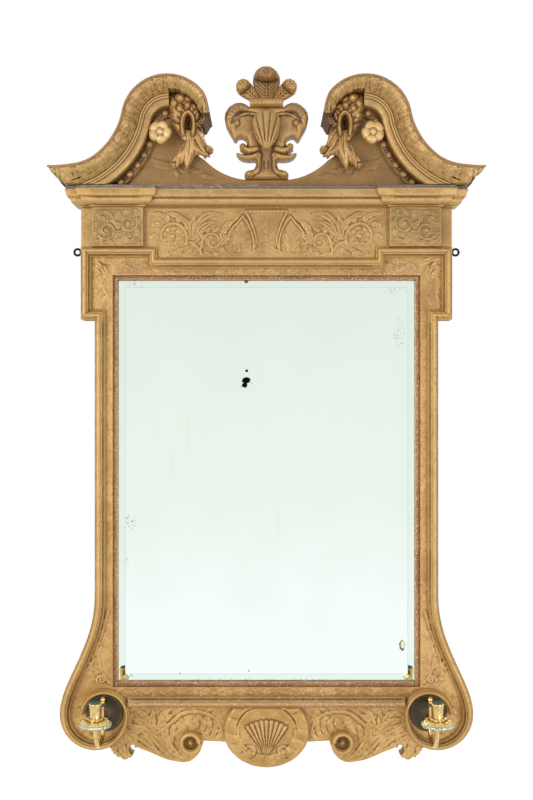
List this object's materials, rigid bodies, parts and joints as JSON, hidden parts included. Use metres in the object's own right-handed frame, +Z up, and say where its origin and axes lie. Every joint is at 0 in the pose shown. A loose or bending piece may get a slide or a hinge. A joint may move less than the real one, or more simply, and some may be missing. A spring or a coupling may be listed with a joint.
{
  "type": "girandole mirror",
  "caption": "Wall mirror with a carved gilt frame, a swan-neck pediment with a central cartouche, a shaped apron and swivelling brass candle arms.",
  "frame": {"origin": "on the back face of the top rail, on the mirror's centre line", "axes": "+Z up, +Y into the wall, +X to the right as seen from the front; the mirror faces -Y"},
  "size_m": [0.852, 0.193, 1.3985],
  "materials": {
    "gilt_gesso": "water gilding over carved gesso on pine, worn to red bole and white gesso",
    "pine": "bare old pine",
    "mirror_plate": "old silvered plate with a wide shallow bevel and foxing",
    "brass": "polished cast brass with worn silvering on the rope rim",
    "patinated_brass": "dark brown patina",
    "wax": "dark green candle wax",
    "iron": "black wrought iron"
  },
  "bodies": {
    "root": {"left_stile": "gilt_gesso", "right_stile": "gilt_gesso", "top_rail": "gilt_gesso", "bottom_rail": "gilt_gesso", "left_ear_block": "gilt_gesso", "right_ear_block": "gilt_gesso", "mirror_glass": "mirror_plate", "lower_backboard": "pine", "middle_backboard": "pine", "upper_backboard": "pine", "top_slip": "gilt_gesso", "left_slip": "gilt_gesso", "bottom_slip": "gilt_gesso", "right_slip": "gilt_gesso", "top_moulding": "gilt_gesso", "left_ear_moulding": "gilt_gesso", "right_ear_moulding": "gilt_gesso", "left_outer_moulding": "gilt_gesso", "right_outer_moulding": "gilt_gesso", "bottom_moulding": "gilt_gesso", "frieze_board": "gilt_gesso", "left_frieze_block": "gilt_gesso", "right_frieze_block": "gilt_gesso", "cornice_core": "pine", "cornice_centre": "gilt_gesso", "left_cornice_block": "gilt_gesso", "right_cornice_block": "gilt_gesso", "cornice_top_board": "gilt_gesso", "left_swan_neck": "gilt_gesso", "right_swan_neck": "gilt_gesso", "left_swan_neck_bed": "gilt_gesso", "right_swan_neck_bed": "gilt_gesso", "tympanum_board": "gilt_gesso", "left_scroll_leaf": "gilt_gesso", "right_scroll_leaf": "gilt_gesso", "left_rosette": "gilt_gesso", "right_rosette": "gilt_gesso", "cartouche_body": "gilt_gesso", "cartouche_shell": "gilt_gesso", "plume_band": "gilt_gesso", "plume_centre": "gilt_gesso", "plume_left": "gilt_gesso", "plume_right": "gilt_gesso", "apron_board": "gilt_gesso", "shell_roundel": "gilt_gesso", "left_apron_scroll": "gilt_gesso", "right_apron_scroll": "gilt_gesso", "left_candle_plate": "patinated_brass", "right_candle_plate": "patinated_brass", "left_screw_eye": "iron", "right_screw_eye": "iron"},
    "left_arm": {"left_candle_arm": "brass", "left_drip_pan": "brass", "left_nozzle": "brass", "left_wax_stub": "wax"},
    "right_arm": {"right_candle_arm": "brass", "right_drip_pan": "brass", "right_nozzle": "brass", "right_wax_stub": "wax"}
  },
  "joints": [
    {"name": "left_arm_swivel", "type": "hinge", "parent": "root", "child": "left_arm", "pos_m": [-0.3245, -0.064, -0.904], "axis": [0, 0, 1], "range_deg": [-65, 65]},
    {"name": "right_arm_swivel", "type": "hinge", "parent": "root", "child": "right_arm", "pos_m": [0.3245, -0.064, -0.904], "axis": [0, 0, 1], "range_deg": [-65, 65]}
  ]
}
